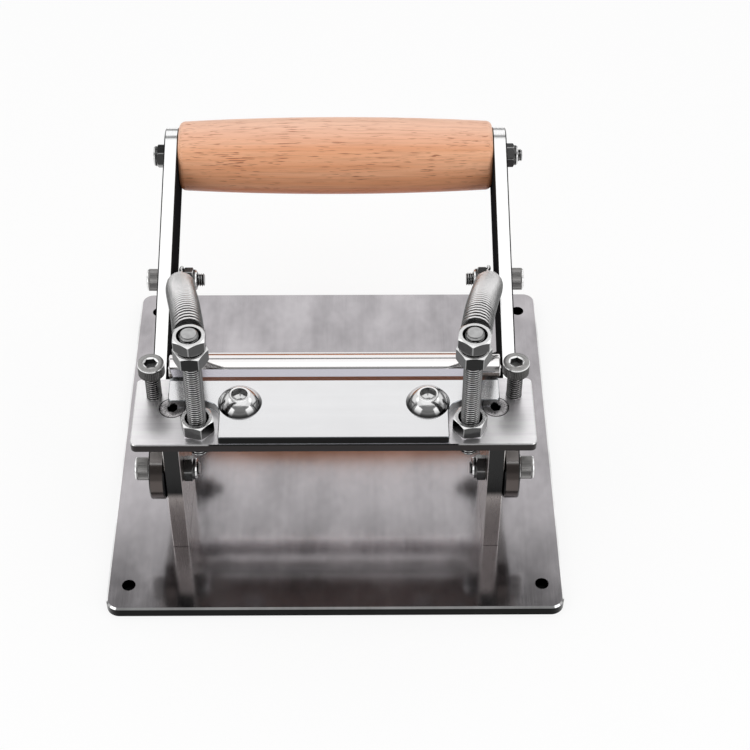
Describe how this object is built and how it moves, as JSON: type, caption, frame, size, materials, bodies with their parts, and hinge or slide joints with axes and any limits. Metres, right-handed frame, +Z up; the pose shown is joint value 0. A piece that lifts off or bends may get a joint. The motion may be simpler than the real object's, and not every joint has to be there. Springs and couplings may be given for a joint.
{
  "type": "hand leather splitter",
  "caption": "Bench leather strap splitter: a clamped blade on a raised table, with a sprung roller lever and a wooden barrel handle.",
  "frame": {"origin": "centre of the base plate's underside", "axes": "+X to the right seen from the front, +Y from the front to the handle, +Z up"},
  "size_m": [0.2, 0.2115, 0.131],
  "materials": {
    "plate_steel": "brushed along the plate, with bright bevels",
    "polished_steel": "ground and polished",
    "blade_steel": "fine ground",
    "fastener_steel": "turned stainless",
    "dark_steel": "turned stainless, darker",
    "spring_steel": "drawn wire",
    "handle_wood": "lacquered, with fine open pores along the handle"
  },
  "bodies": {
    "frame": {"base_plate": "plate_steel", "base_screws": "fastener_steel", "left_upright": "plate_steel", "right_upright": "plate_steel", "table_plate": "plate_steel", "table_screws": "fastener_steel", "blade": "blade_steel", "clamp_plate": "polished_steel", "clamp_screws": "polished_steel", "left_stud": "fastener_steel", "right_stud": "fastener_steel", "stud_lock_nuts": "fastener_steel", "spring_lower_nuts": "fastener_steel", "spring_upper_nuts": "fastener_steel", "pivot_screws": "fastener_steel", "pivot_washers": "fastener_steel", "pivot_nuts": "dark_steel"},
    "lever": {"left_arm": "plate_steel", "right_arm": "plate_steel", "handle_grip": "handle_wood", "handle_tie_rod": "fastener_steel", "handle_nuts": "fastener_steel", "spring_bolts": "fastener_steel", "spring_nuts": "dark_steel", "left_spring": "spring_steel", "right_spring": "spring_steel"},
    "roller": {"roller": "polished_steel"},
    "left_adjuster": {"left_adjusting_screw": "dark_steel"},
    "right_adjuster": {"right_adjusting_screw": "dark_steel"}
  },
  "joints": [
    {"name": "lever_pivot", "type": "hinge", "parent": "frame", "child": "lever", "pos_m": [0, -0.055, 0.046], "axis": [-1, 0, 0], "range_deg": [0, 27], "stiffness_Nm_per_rad": 6, "springref_deg": -34.38, "deforming": ["left_spring", "right_spring"]},
    {"name": "roller_spin", "type": "hinge", "parent": "lever", "child": "roller", "pos_m": [0, -0.01758, 0.06924], "axis": [1, 0, 0], "continuous": true},
    {"name": "left_adjuster_slide", "type": "slide", "parent": "frame", "child": "left_adjuster", "axis": [0, 0, 1], "range_m": [0, 0.008]},
    {"name": "right_adjuster_slide", "type": "slide", "parent": "frame", "child": "right_adjuster", "axis": [0, 0, 1], "range_m": [0, 0.008]}
  ]
}
